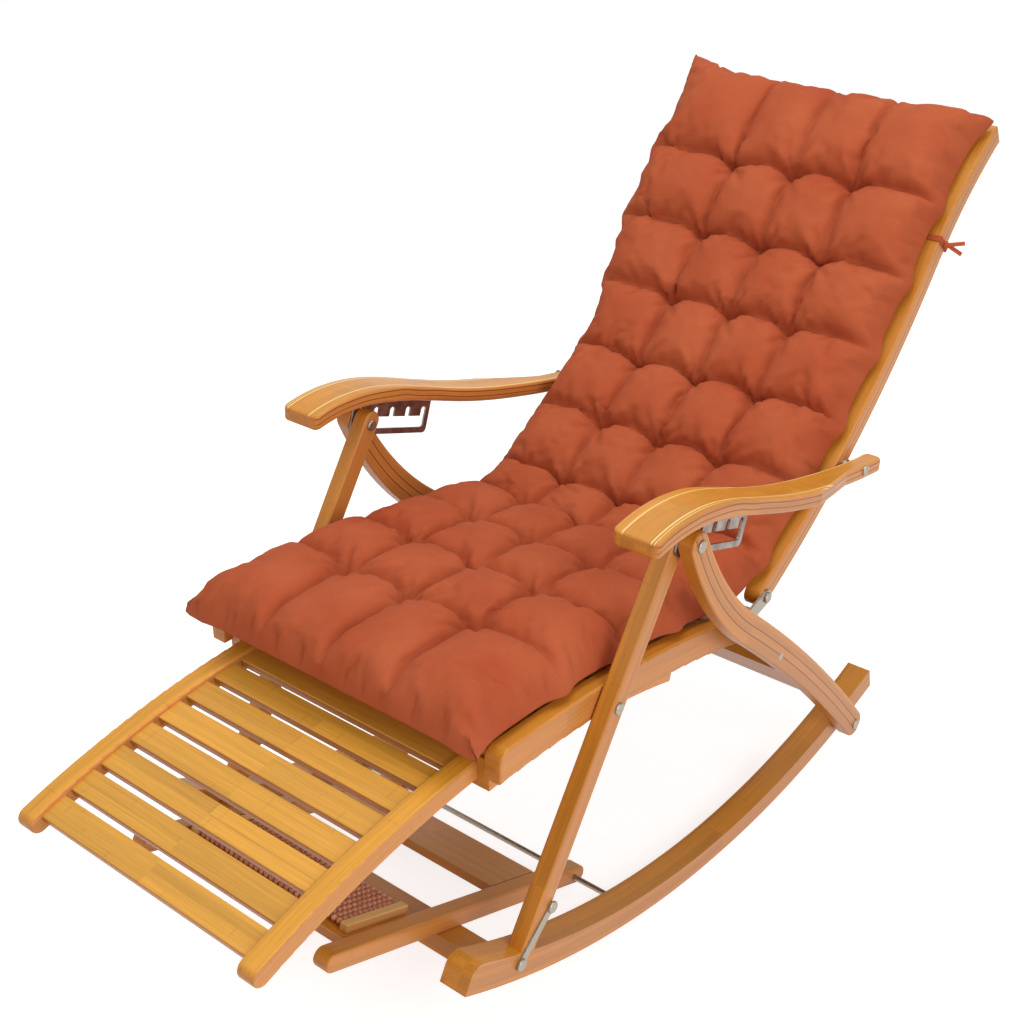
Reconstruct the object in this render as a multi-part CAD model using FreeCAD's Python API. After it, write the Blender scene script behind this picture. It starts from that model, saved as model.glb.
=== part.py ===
# Folding rocking lounger in bamboo with a tufted pad.
# Millimetres, +Z up, front towards -Y. Places are set out from the floor below the chair's balance point,
# and the solids are saved with their origin on the floor at the middle of the chair's length.
import FreeCAD, Part
import math
import os

os.makedirs("parts", exist_ok=True)
V = FreeCAD.Vector

MIDDLE_Y = -91.7

# Layers across the chair, from the seat rails outwards
RAIL_INNER = 228.0
RAIL_THICK = 27.0
LAYER_GAP = 1.5
LEG_THICK = 25.0
ROCKER_THICK = 41.0
PLATE_THICK = 3.0
PLATE_GAP = 1.0
REAR_LEG_THICK = 24.0
ARM_INNER_FRONT = 251.0
ARM_INNER_REAR = 262.0
ARM_OUTER = 320.0
ARM_REAR_OUTER = 292.0

# Pivots in the side view, as (Y, Z)
APEX = (-215.0, 610.0)
ROCKER_PIVOT = (365.0, 67.0)
BACK_PIVOT = (85.0, 400.0)
ARM_PIVOT = (286.0, 551.0)
HOOK_PIVOT = (-446.0, 173.0)
HOOK_SCREW = (-505.0, 118.0)

# Rockers
ROCKER_R = 1430.0
ROCKER_BALANCE_Y = 1.0
ROCKER_FLAT = 0.15
ROCKER_FRONT_Y = -611.0
ROCKER_REAR_Y = 475.0
ROCKER_DEPTH_FRONT = 42.0
ROCKER_DEPTH_MID = 30.0
ROCKER_DEPTH_REAR = 37.0
ROCKER_NOSE_R = 18.0

# Legs
LEG_WIDTH = 30.0
LEG_FOOT = (-484.0, 131.0)
LEG_ABOVE_APEX = 6.0
REAR_LEG_TOP_ANGLE = -62.0
REAR_LEG_UPPER = (252.0, 26.0)
REAR_LEG_WIDTH_TOP = 37.0
REAR_LEG_WIDTH_MID = 46.0
REAR_LEG_WIDTH_LOW = 44.0
CROSSBAR_WIDTH = 105.0
CROSSBAR_THICK = 20.0
CROSSBAR_FROM_PIVOT = 203.0
SEAT_REST_R = 6.0
SEAT_REST_BACK = 8.0

# Seat
SEAT_APEX = (-400.0, 413.5)
SEAT_R = 2072.0
SEAT_FRONT_Y = -529.0
SEAT_REAR_Y = 66.0
SEAT_DEPTH = 44.0
SEAT_NOSE_R = 18.0
SEAT_BOLT_Y = -327.0
SLAT_INSET = 8.0
SLAT_THICK = 10.0
SEAT_SLAT_WIDTH = 40.0
SEAT_SLAT_COUNT = 11

# Back
BACK_ANGLE = 33.0
BACK_LOWER = (592.0, 23.0)
BACK_UPPER = (260.0, -20.0)
BACK_WIDTH = 33.0
BACK_SLAT_WIDTH = 42.0
BACK_SLAT_COUNT = 15
BACK_SLAT_START = 52.0
BACK_SLAT_OFFSET = 3.5
HINGE_STRAP_THICK = 4.0
HINGE_STRAP_WIDTH = 24.0
HINGE_STRAP_REACH = 62.0
RECLINE_MAX = 39.0

# Armrests and their notch plates
ARM_THICK = 23.0
ARM_FRONT_Y = -331.0
ARM_REAR_Y = 345.0
ARM_TOP = ((-331.0, 655.0), (-262.0, 667.0), (-190.0, 662.0), (-94.0, 637.0),
           (21.0, 604.0), (144.0, 579.0), (250.0, 563.0), (345.0, 555.0))
ARM_EDGE_R = 5.0
ARM_INNER_TAPER = (-170.0, -60.0)
ARM_OUTER_TAPER = (90.0, 225.0)
PIN_R = 4.5
PIN_PLAY = 0.7
CHANNEL_ANGLE = -14.7
CHANNEL_TRAVEL = 143.6
CHANNEL_SAG = 7.6
NOTCH_COUNT = 5
NOTCH_WIDTH = 11.0
NOTCH_HEIGHT = 20.0
PLATE_STRIP = 9.0
PLATE_END = 9.0
PLATE_CORNER_R = 8.0
NOTCH_ROUND = 0.95

# Footrest and its runners, all bent about one centre
FOOT_CENTRE = (-392.0, -891.0)
FOOT_R = 1280.0
FOOT_DEPTH = 28.0
FOOT_RAIL_INNER = 182.0
FOOT_RAIL_THICK = 28.0
FOOT_FRONT_ANGLE = 21.6
FOOT_REAR_ANGLE = 2.1
FOOT_SLAT_WIDTH = 38.0
FOOT_SLAT_PITCH = 47.0
FOOT_SLAT_COUNT = 8
FOOT_SLAT_INSET = 6.0
RUNNER_FRONT_ANGLE = 5.6
RUNNER_REAR_ANGLE = -12.6
RUNNER_LIP = 20.0
RUNNER_LIP_THICK = 9.0
RUNNER_PLAY = 0.4

# Foot massage board
ROD_R = 4.0
ROD = (-245.0, 42.0)
MASSAGE_BAR_INNER = 153.0
MASSAGE_BAR_THICK = 25.0
MASSAGE_BAR_WIDTH = 26.0
MASSAGE_ANGLE = 161.3
MASSAGE_LENGTH = 508.0
MASSAGE_REAR_OVERHANG = 14.0
MASSAGE_BOARD_THICK = 12.0
MASSAGE_REAR_BOARD = (75.0, 100.0)
MASSAGE_FRONT_BOARD = (330.0, 135.0)
MASSAGE_PAD_THICK = 12.0
MASSAGE_PAD_EDGE = 10.0
ROCKER_CROSSBAR_AT = 285.0
ROCKER_CROSSBAR_WIDTH = 52.0
ROCKER_CROSSBAR_THICK = 22.0

# Hooks
HOOK_THICK = 2.5
HOOK_WIDTH = 13.0
HOOK_TIP = 9.0
SCREW_R = 3.0

# Shares of a board's thickness taken by its eased edges
LEG_EASE = 0.14
RAIL_EASE = 0.12
BOARD_EASE = 0.1
SLAT_EASE = 0.25
HEAD_EASE = 0.6

# Fasteners
BOLT_R = 4.0
BOLT_HEAD_R = 8.5
BOLT_HEAD = 3.5
RUN_FIT = 0.05
SEAT_GAP = 0.4

# Pad
PAD_HALF = 236.0
PAD_DRAW_IN = 9.0
PAD_EDGE = 62.0
PAD_CROWN = 16.0
PAD_ROW_DROP = 15.0
PAD_SIDE_BULGE = 6.0
PAD_FRONT_OVERHANG = 34.0
PAD_ROW_PITCH = 95.0
PAD_END = 22.0
PAD_LIFT = 0.9
TUFT_R = 26.0
TUFT_SINK = 9.0
TUFT_COLUMNS = 4
TUFT_PITCH = 98.0
PAD_CREASE_PLAY = 0.7
PAD_BEND_GAP = 0.4
PAD_HINGE_CLEAR = 23.0
PAD_BEND_DIP = 6.0

# Places across the chair that follow from the layers
RAIL_OUTER = RAIL_INNER + RAIL_THICK
LEG_INNER = RAIL_OUTER + LAYER_GAP
LEG_OUTER = LEG_INNER + LEG_THICK
ROCKER_INNER = LEG_OUTER - ROCKER_THICK
PLATE_INNER = LEG_OUTER + PLATE_GAP
REAR_LEG_INNER = PLATE_INNER + PLATE_THICK + PLATE_GAP
REAR_LEG_OUTER = REAR_LEG_INNER + REAR_LEG_THICK
FOOT_RAIL_OUTER = FOOT_RAIL_INNER + FOOT_RAIL_THICK
MASSAGE_BAR_OUTER = MASSAGE_BAR_INNER + MASSAGE_BAR_THICK


def save(node, shape):
    placed = shape.copy()
    placed.translate(V(0, -MIDDLE_Y, 0))
    placed.exportStep("parts/" + node + ".step")


def save_pair(node, shape):
    """A right-hand piece and its mirror image on the left."""
    save(node + "_right", shape)
    save(node + "_left", mirrored(shape))


def mirrored(shape):
    return shape.mirror(V(0, 0, 0), V(1, 0, 0))


def both(shape):
    return Part.makeCompound([shape, mirrored(shape)])


def point(p):
    return V(0, p[0], p[1])


def move(p, angle, distance):
    a = math.radians(angle)
    return (p[0] + distance * math.cos(a), p[1] + distance * math.sin(a))


def toward(a, b):
    """Angle in degrees and distance from one side-view point to another."""
    return math.degrees(math.atan2(b[1] - a[1], b[0] - a[0])), math.hypot(b[0] - a[0], b[1] - a[1])


def path_at(start, angle, pieces, distance):
    """Point and heading at a distance along a path of (length, turn) arcs."""
    p = start
    h = angle
    for index, (length, turn) in enumerate(pieces):
        last = index == len(pieces) - 1
        step = distance if last else min(distance, length)
        swing = turn * step / length
        if turn == 0:
            p = move(p, h, step)
        else:
            chord = 2 * length / math.radians(turn) * math.sin(math.radians(swing) / 2)
            p = move(p, h + swing / 2, chord)
        h += swing
        distance -= step
        if distance <= 0:
            break
    return p, h


def side_edges(start, angle, pieces, offsets):
    """Edges that run beside a path, at offsets to its left given for each piece end."""
    edges = []
    along = 0.0
    for index, (length, turn) in enumerate(pieces):
        points = []
        for share in (0.0, 0.5, 1.0):
            p, h = path_at(start, angle, pieces, along + share * length)
            offset = offsets[index] + share * (offsets[index + 1] - offsets[index])
            points.append(point(move(p, h + 90, offset)))
        if turn == 0:
            edges.append(Part.LineSegment(points[0], points[2]).toShape())
        else:
            edges.append(Part.Arc(points[0], points[1], points[2]).toShape())
        along += length
    return edges


def strip(start, angle, pieces, left, right, x0, x1, round_start=False, round_end=False):
    """A board cut to a strip along a path, from x0 to x1 across the chair."""
    left_edges = side_edges(start, angle, pieces, left)
    right_edges = side_edges(start, angle, pieces, [-w for w in right])
    total = sum(length for length, turn in pieces)
    end, end_angle = path_at(start, angle, pieces, total)
    a0 = left_edges[0].Vertexes[0].Point
    b0 = right_edges[0].Vertexes[0].Point
    a1 = left_edges[-1].Vertexes[-1].Point
    b1 = right_edges[-1].Vertexes[-1].Point
    start_cap = Part.LineSegment(b0, a0).toShape()
    end_cap = Part.LineSegment(a1, b1).toShape()
    if round_start:
        start_cap = Part.Arc(b0, point(move(start, angle + 180, left[0])), a0).toShape()
    if round_end:
        end_cap = Part.Arc(a1, point(move(end, end_angle, left[-1])), b1).toShape()
    wire = Part.Wire(Part.__sortEdges__(left_edges + [end_cap] + right_edges + [start_cap]))
    return across(wire, x0, x1)


def across(wire, x0, x1):
    face = Part.Face(wire)
    face.translate(V(x0, 0, 0))
    return face.extrude(V(x1 - x0, 0, 0))


def soften(shape, radius, x0, x1):
    """Round the long edges of a board, on its two broad faces."""
    edges = [e for e in shape.Edges
             if all(abs(v.X - x0) < 1e-6 for v in e.Vertexes) or all(abs(v.X - x1) < 1e-6 for v in e.Vertexes)]
    return shape.makeFillet(radius, edges)


def rod(p, radius, x0, x1):
    return Part.makeCylinder(radius, x1 - x0, V(x0, p[0], p[1]), V(1, 0, 0))


def dome_head(p, x, outward):
    """Low domed bolt head on a face at x."""
    body = Part.makeCylinder(BOLT_HEAD_R, BOLT_HEAD, V(x, p[0], p[1]), V(outward, 0, 0))
    rim = [e for e in body.Edges if all(abs(v.X - (x + outward * BOLT_HEAD)) < 1e-6 for v in e.Vertexes)]
    return body.makeFillet(BOLT_HEAD * HEAD_EASE, rim)


def bolt(p, x0, x1, radius=BOLT_R, inner_head=False):
    """Bolt with a domed head outside, and another inside where it passes right through."""
    body = rod(p, radius, x0, x1).fuse(dome_head(p, x1, 1))
    if inner_head:
        body = body.fuse(dome_head(p, x0, -1))
    return body.removeSplitter()


def cross_board(p, angle, width, thick, half_x):
    """Board across the chair, its broad face along the angle, centred on p."""
    box = Part.makeBox(2 * half_x, width, thick, V(-half_x, -width / 2, -thick / 2))
    box.rotate(V(0, 0, 0), V(1, 0, 0), angle)
    box.translate(point(p))
    return box


def slat(p, angle, width, half_x):
    """Slat with its two long upper edges eased."""
    box = Part.makeBox(2 * half_x, width, SLAT_THICK, V(-half_x, -width / 2, -SLAT_THICK / 2))
    ridge = [e for e in box.Edges
             if all(abs(v.Z - SLAT_THICK / 2) < 1e-6 for v in e.Vertexes) and e.Length > width]
    box = box.makeFillet(SLAT_THICK * SLAT_EASE, ridge)
    box.rotate(V(0, 0, 0), V(1, 0, 0), angle)
    box.translate(point(p))
    return box


# Rockers: laminated arcs, with a small flat where they stand
rocker_centre = (ROCKER_BALANCE_Y, ROCKER_R - ROCKER_FLAT)


def rocker_point(y, depth):
    swing = math.asin((y - rocker_centre[0]) / ROCKER_R)
    radius = ROCKER_R - depth
    return (rocker_centre[0] + radius * math.sin(swing), rocker_centre[1] - radius * math.cos(swing))


def make_rocker():
    front_low = point(rocker_point(ROCKER_FRONT_Y, 0))
    front_top = point(rocker_point(ROCKER_FRONT_Y, ROCKER_DEPTH_FRONT))
    rear_low = point(rocker_point(ROCKER_REAR_Y, 0))
    rear_top = point(rocker_point(ROCKER_REAR_Y, ROCKER_DEPTH_REAR))
    mid_low = point(rocker_point(rocker_centre[0], 0))
    mid_top = point(rocker_point(rocker_centre[0], ROCKER_DEPTH_MID))
    edges = [
        Part.Arc(front_low, mid_low, rear_low).toShape(),
        Part.LineSegment(rear_low, rear_top).toShape(),
        Part.Arc(rear_top, mid_top, front_top).toShape(),
        Part.LineSegment(front_top, front_low).toShape(),
    ]
    body = across(Part.Wire(edges), ROCKER_INNER, LEG_OUTER)
    nose = [e for e in body.Edges
            if all((v.Point - V(v.X, front_top.y, front_top.z)).Length < 1e-6 for v in e.Vertexes)]
    body = body.makeFillet(ROCKER_NOSE_R, nose)
    ground = Part.makeBox(4 * LEG_OUTER, 2 * ROCKER_R, ROCKER_R, V(-2 * LEG_OUTER, -ROCKER_R, -ROCKER_R))
    return body.cut(ground)


rocker_blank = make_rocker()
rocker = rocker_blank.cut(rod(ROCKER_PIVOT, BOLT_R, ROCKER_INNER, LEG_OUTER))
rocker = rocker.cut(rod(ROD, ROD_R, ROCKER_INNER, ROCKER_INNER + ROCKER_THICK / 2))
rocker = rocker.cut(rod(HOOK_SCREW, SCREW_R, LEG_INNER, LEG_OUTER))
save_pair("rocker", rocker)
save("rocker_rod", rod(ROD, ROD_R, -ROCKER_INNER - ROCKER_THICK / 2, ROCKER_INNER + ROCKER_THICK / 2))

# Front legs: straight posts that stand on the rockers and rise to the apex bolts
leg_angle, leg_length = toward(LEG_FOOT, APEX)
leg_start = move(LEG_FOOT, leg_angle, -LEG_WIDTH)
leg_half = LEG_WIDTH / 2
front_leg = strip(leg_start, leg_angle, [(leg_length + LEG_WIDTH + LEG_ABOVE_APEX, 0)],
                  [leg_half] * 2, [leg_half] * 2, LEG_INNER, LEG_OUTER, round_end=True)
front_leg = soften(front_leg, LEG_THICK * LEG_EASE, LEG_INNER, LEG_OUTER).cut(rocker_blank)
front_leg = max(front_leg.Solids, key=lambda s: s.CenterOfMass.z)
seat_centre = (SEAT_APEX[0], SEAT_APEX[1] - SEAT_R)


def seat_point(y, radius):
    swing = math.asin((y - seat_centre[0]) / SEAT_R)
    return (seat_centre[0] + radius * math.sin(swing), seat_centre[1] + radius * math.cos(swing))


seat_bolt = seat_point(SEAT_BOLT_Y, SEAT_R)
for hole, radius in ((APEX, PIN_R), (seat_bolt, BOLT_R), (HOOK_PIVOT, SCREW_R)):
    front_leg = front_leg.cut(rod(hole, radius, LEG_INNER, LEG_OUTER))
save_pair("front_leg", front_leg)

# Rear legs: S-shaped posts from the apex bolts down to the rockers' rear bolts
rear_upper_length, rear_upper_turn = REAR_LEG_UPPER
rear_mid, rear_mid_angle = path_at(APEX, REAR_LEG_TOP_ANGLE, [REAR_LEG_UPPER], rear_upper_length)
rear_chord_angle, rear_chord = toward(rear_mid, ROCKER_PIVOT)
rear_lower_turn = 2 * (rear_chord_angle - rear_mid_angle)
rear_lower_half = math.radians(rear_lower_turn) / 2
rear_lower_length = rear_chord * rear_lower_half / math.sin(rear_lower_half)
rear_path = [REAR_LEG_UPPER, (rear_lower_length, rear_lower_turn)]
rear_halves = [REAR_LEG_WIDTH_TOP / 2, REAR_LEG_WIDTH_MID / 2, REAR_LEG_WIDTH_LOW / 2]
rear_leg = strip(APEX, REAR_LEG_TOP_ANGLE, rear_path, rear_halves, rear_halves,
                 REAR_LEG_INNER, REAR_LEG_OUTER, round_start=True, round_end=True)
rear_leg = soften(rear_leg, REAR_LEG_THICK * LEG_EASE, REAR_LEG_INNER, REAR_LEG_OUTER)
rear_total = rear_upper_length + rear_lower_length
rest_swing = math.asin((SEAT_REAR_Y - SEAT_REST_BACK - seat_centre[0]) / SEAT_R)
rest_radius = SEAT_R - SEAT_DEPTH / 2 - SEAT_REST_R - SEAT_GAP
seat_rest = (seat_centre[0] + rest_radius * math.sin(rest_swing),
             seat_centre[1] + rest_radius * math.cos(rest_swing))
for hole, radius in ((APEX, PIN_R), (ROCKER_PIVOT, BOLT_R), (seat_rest, SEAT_REST_R)):
    rear_leg = rear_leg.cut(rod(hole, radius, REAR_LEG_INNER, REAR_LEG_OUTER))
save_pair("rear_leg", rear_leg)

# Crossbar between the rear legs, and the rod that carries the seat's rear end
bar_at, bar_angle = path_at(APEX, REAR_LEG_TOP_ANGLE, rear_path, rear_total - CROSSBAR_FROM_PIVOT)
bar = cross_board(bar_at, bar_angle, CROSSBAR_WIDTH, CROSSBAR_THICK, REAR_LEG_INNER)
save("rear_leg_crossbar", soften(bar, CROSSBAR_THICK * BOARD_EASE, -REAR_LEG_INNER, REAR_LEG_INNER))
save("seat_rest_rod", rod(seat_rest, SEAT_REST_R, -REAR_LEG_OUTER, REAR_LEG_OUTER))

# Seat: two bowed side rails and the slats between them
seat_start = seat_point(SEAT_FRONT_Y, SEAT_R)
seat_start_swing = math.degrees(math.asin((SEAT_FRONT_Y - seat_centre[0]) / SEAT_R))
seat_end_swing = math.degrees(math.asin((SEAT_REAR_Y - seat_centre[0]) / SEAT_R))
seat_turn = seat_end_swing - seat_start_swing
seat_path = [(SEAT_R * math.radians(seat_turn), -seat_turn)]
seat_half = SEAT_DEPTH / 2
seat_rail = strip(seat_start, -seat_start_swing, seat_path, [seat_half] * 2, [seat_half] * 2,
                  RAIL_INNER, RAIL_OUTER)
nose_at = point(seat_point(SEAT_FRONT_Y, SEAT_R + seat_half))
nose_edge = [e for e in seat_rail.Edges
             if all(abs(v.Y - nose_at.y) < 1e-4 and abs(v.Z - nose_at.z) < 1e-4 for v in e.Vertexes)]
seat_rail = seat_rail.makeFillet(SEAT_NOSE_R, nose_edge)
seat_rail = soften(seat_rail, RAIL_THICK * RAIL_EASE, RAIL_INNER, RAIL_OUTER)
seat_rail = seat_rail.cut(rod(seat_bolt, BOLT_R, RAIL_INNER, RAIL_OUTER))
save_pair("seat_rail", seat_rail)

slat_radius = SEAT_R + seat_half - SLAT_INSET - SLAT_THICK / 2
slat_step = seat_turn / SEAT_SLAT_COUNT
seat_slats = []
for index in range(SEAT_SLAT_COUNT):
    swing = math.radians(seat_start_swing + (index + 0.5) * slat_step)
    place = (seat_centre[0] + slat_radius * math.sin(swing), seat_centre[1] + slat_radius * math.cos(swing))
    seat_slats.append(slat(place, -math.degrees(swing), SEAT_SLAT_WIDTH, RAIL_INNER))
save("seat_slats", Part.makeCompound(seat_slats))

# Frame bolts: apex pins, rocker bolts with spacers, seat bolts
apex_pin = bolt(APEX, LEG_INNER, REAR_LEG_OUTER, PIN_R, inner_head=True)
save_pair("apex_pin", apex_pin)
rocker_bolt = bolt(ROCKER_PIVOT, ROCKER_INNER, REAR_LEG_OUTER, inner_head=True)
spacer = rod(ROCKER_PIVOT, BOLT_HEAD_R, LEG_OUTER, REAR_LEG_INNER)
save("rocker_bolts", both(rocker_bolt))
save("rocker_bolt_spacers", both(spacer.cut(rod(ROCKER_PIVOT, BOLT_R, LEG_OUTER, REAR_LEG_INNER))))
save("seat_bolts", both(bolt(seat_bolt, RAIL_INNER, LEG_OUTER)))
seat_washer = rod(seat_bolt, BOLT_HEAD_R, RAIL_OUTER, LEG_INNER)
save("seat_bolt_washers", both(seat_washer.cut(rod(seat_bolt, BOLT_R, RAIL_OUTER, LEG_INNER))))

# Strap hinges: steel straps on the seat rails' outer faces that reach up to the back's pivots
strap_seat_end = seat_point(SEAT_REAR_Y - HINGE_STRAP_REACH, SEAT_R)
strap_angle, strap_length = toward(strap_seat_end, BACK_PIVOT)
strap_half = HINGE_STRAP_WIDTH / 2
strap = strip(strap_seat_end, strap_angle, [(strap_length, 0)], [strap_half] * 2, [strap_half] * 2,
              RAIL_OUTER, RAIL_OUTER + HINGE_STRAP_THICK, round_start=True, round_end=True)
strap = strap.cut(rod(BACK_PIVOT, BOLT_R + RUN_FIT, RAIL_OUTER, RAIL_OUTER + HINGE_STRAP_THICK))
save_pair("back_hinge_strap", strap)

# Back: two S-bent side rails with slats across
back_path = [BACK_LOWER, BACK_UPPER]
back_half = BACK_WIDTH / 2
back_halves = [back_half] * 3
back_total = BACK_LOWER[0] + BACK_UPPER[0]
back_rail = strip(BACK_PIVOT, BACK_ANGLE, back_path, back_halves, back_halves,
                  RAIL_INNER, RAIL_OUTER, round_start=True)
back_rail = soften(back_rail, RAIL_THICK * RAIL_EASE, RAIL_INNER, RAIL_OUTER)
for hole in (BACK_PIVOT, ARM_PIVOT):
    back_rail = back_rail.cut(rod(hole, BOLT_R, RAIL_INNER, RAIL_OUTER))
save_pair("back_rail", back_rail)

back_slats = []
back_step = (back_total - BACK_SLAT_START - BACK_SLAT_WIDTH / 2) / (BACK_SLAT_COUNT - 1)
for index in range(BACK_SLAT_COUNT):
    p, h = path_at(BACK_PIVOT, BACK_ANGLE, back_path, BACK_SLAT_START + index * back_step)
    back_slats.append(slat(move(p, h + 90, BACK_SLAT_OFFSET), h, BACK_SLAT_WIDTH, RAIL_INNER))
save("back_slats", Part.makeCompound(back_slats))
hinge_bolt = bolt(BACK_PIVOT, RAIL_INNER, RAIL_OUTER + HINGE_STRAP_THICK + RUN_FIT)
save("back_hinge_bolts", both(hinge_bolt))
arm_bolt = bolt(ARM_PIVOT, RAIL_INNER, ARM_REAR_OUTER + RUN_FIT)
save("arm_pivot_bolts", both(arm_bolt))
arm_spacer = rod(ARM_PIVOT, BOLT_HEAD_R, RAIL_OUTER, ARM_INNER_REAR - RUN_FIT)
save("arm_pivot_spacers", both(arm_spacer.cut(rod(ARM_PIVOT, BOLT_R, RAIL_OUTER, ARM_INNER_REAR))))


# Armrests: a waved board, broad at the front and narrow at the rear
def make_arm():
    top = Part.BSplineCurve()
    top.interpolate([point(p) for p in ARM_TOP])
    low = Part.BSplineCurve()
    low.interpolate([V(0, p[0], p[1] - ARM_THICK) for p in ARM_TOP])
    rear = Part.LineSegment(top.EndPoint, low.EndPoint)
    front = Part.LineSegment(low.StartPoint, top.StartPoint)
    wave = Part.Wire(Part.__sortEdges__([c.toShape() for c in (top, rear, low, front)]))
    board = across(wave, ARM_INNER_FRONT - LEG_THICK, ARM_OUTER + LEG_THICK)
    plan = [
        V(ARM_INNER_FRONT, ARM_FRONT_Y, 0), V(ARM_INNER_FRONT, ARM_INNER_TAPER[0], 0),
        V(ARM_INNER_REAR, ARM_INNER_TAPER[1], 0), V(ARM_INNER_REAR, ARM_REAR_Y, 0),
        V(ARM_REAR_OUTER, ARM_REAR_Y, 0), V(ARM_REAR_OUTER, ARM_OUTER_TAPER[1], 0),
        V(ARM_OUTER, ARM_OUTER_TAPER[0], 0), V(ARM_OUTER, ARM_FRONT_Y, 0),
    ]
    outline = Part.Face(Part.makePolygon(plan + [plan[0]])).extrude(V(0, 0, 2 * APEX[1]))
    corners = [e for e in outline.Edges if abs(e.Vertexes[0].Z - e.Vertexes[-1].Z) > 1]
    outline = outline.makeFillet(ARM_EDGE_R * 2, corners)
    return board.common(outline)


arm_blank = make_arm()
arm_edges = [e for e in arm_blank.Edges if e.Length > 2 * ARM_THICK]
arm = arm_blank.makeFillet(ARM_EDGE_R, arm_edges)
arm = arm.cut(rod(ARM_PIVOT, BOLT_R + RUN_FIT, ARM_INNER_REAR - ARM_EDGE_R, ARM_REAR_OUTER + ARM_EDGE_R))
save_pair("armrest", arm)


def channel(s, n):
    """Side-view place at s along the notch plate's channel and n above its centre line."""
    return point(move(move(APEX, CHANNEL_ANGLE, s), CHANNEL_ANGLE + 90, n))


def channel_box(s0, s1, n0, n1, corner):
    corners = [channel(s0, n0), channel(s1, n0), channel(s1, n1), channel(s0, n1)]
    body = across(Part.makePolygon(corners + [corners[0]]), PLATE_INNER, PLATE_INNER + PLATE_THICK)
    upright = [e for e in body.Edges if abs(e.Vertexes[0].X - e.Vertexes[-1].X) > 1]
    return body.makeFillet(corner, upright)


# Notch plates: steel plates under the armrests whose channels run over the apex pins
pin_room = PIN_R + PIN_PLAY
channel_low = -CHANNEL_SAG - pin_room
plate = channel_box(-pin_room - PLATE_END, CHANNEL_TRAVEL + pin_room + PLATE_END,
                    channel_low - PLATE_STRIP, 2 * ARM_THICK, PLATE_CORNER_R)
plate = plate.cut(channel_box(-pin_room, CHANNEL_TRAVEL + pin_room, channel_low, pin_room, PIN_R))
for index in range(NOTCH_COUNT):
    s = CHANNEL_TRAVEL * index / (NOTCH_COUNT - 1)
    half = NOTCH_WIDTH / 2
    plate = plate.cut(channel_box(s - half, s + half, 0, NOTCH_HEIGHT, half * NOTCH_ROUND))
plate = plate.cut(arm)
plate = min(plate.Solids, key=lambda s: s.CenterOfMass.z)
save_pair("notch_plate", plate)


# Footrest: bent side rails and slats that slide in and out on the runners' own arc
def foot_strip(front_angle, rear_angle, low, high, x0, x1, rounded=False):
    """Bar bent about the footrest's centre, between two radii."""
    middle = (low + high) / 2
    half = (high - low) / 2
    start = move(FOOT_CENTRE, 90 + front_angle, middle)
    turn = front_angle - rear_angle
    pieces = [(middle * math.radians(turn), -turn)]
    return strip(start, front_angle, pieces, [half] * 2, [half] * 2, x0, x1, round_start=rounded)


foot_low = FOOT_R - FOOT_DEPTH / 2
foot_high = FOOT_R + FOOT_DEPTH / 2
foot_rail = foot_strip(FOOT_FRONT_ANGLE, FOOT_REAR_ANGLE, foot_low, foot_high,
                       FOOT_RAIL_INNER, FOOT_RAIL_OUTER, rounded=True)
save_pair("footrest_rail", soften(foot_rail, FOOT_RAIL_THICK * BOARD_EASE, FOOT_RAIL_INNER, FOOT_RAIL_OUTER))
foot_slat_radius = foot_high - FOOT_SLAT_INSET - SLAT_THICK / 2
foot_slats = []
for index in range(FOOT_SLAT_COUNT):
    lead = math.degrees(((index + 0.5) * FOOT_SLAT_PITCH) / foot_slat_radius)
    angle = FOOT_FRONT_ANGLE - lead
    foot_slats.append(slat(move(FOOT_CENTRE, 90 + angle, foot_slat_radius), angle,
                           FOOT_SLAT_WIDTH, FOOT_RAIL_INNER))
save("footrest_slats", Part.makeCompound(foot_slats))

# Runners: grooved bars on the seat rails' inner faces that hold the footrest's rails
runner_side = FOOT_RAIL_OUTER + RUNNER_PLAY
groove_low = foot_low - RUNNER_PLAY
groove_high = foot_high + RUNNER_PLAY
runner = foot_strip(RUNNER_FRONT_ANGLE, RUNNER_REAR_ANGLE, groove_low - RUNNER_LIP_THICK,
                    groove_high + RUNNER_LIP_THICK, FOOT_RAIL_OUTER - RUNNER_LIP, RAIL_INNER)
groove = foot_strip(RUNNER_FRONT_ANGLE + 1, RUNNER_REAR_ANGLE - 1, groove_low, groove_high,
                    FOOT_RAIL_OUTER - 2 * RUNNER_LIP, runner_side)
save_pair("footrest_runner", runner.cut(groove))

# Foot massage board: two sloping bars on the rocker rod, with boards and a beaded pad between them
bar_half = MASSAGE_BAR_WIDTH / 2
bar_start = move(ROD, MASSAGE_ANGLE, -MASSAGE_REAR_OVERHANG)
massage_bar = strip(bar_start, MASSAGE_ANGLE, [(MASSAGE_LENGTH + MASSAGE_REAR_OVERHANG, 0)],
                    [bar_half] * 2, [bar_half] * 2, MASSAGE_BAR_INNER, MASSAGE_BAR_OUTER,
                    round_start=True, round_end=True)
massage_bar = soften(massage_bar, MASSAGE_BAR_THICK * RAIL_EASE, MASSAGE_BAR_INNER, MASSAGE_BAR_OUTER)
save_pair("massage_bar", massage_bar.cut(rod(ROD, ROD_R + RUN_FIT, MASSAGE_BAR_INNER, MASSAGE_BAR_OUTER)))


def massage_slab(at, length, top, thick, half_x):
    """Slab between the massage bars: its start along them, its length, and its top above their centre line."""
    centre = move(move(ROD, MASSAGE_ANGLE, at + length / 2), MASSAGE_ANGLE - 90, top - thick / 2)
    return cross_board(centre, MASSAGE_ANGLE - 180, length, thick, half_x)


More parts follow.
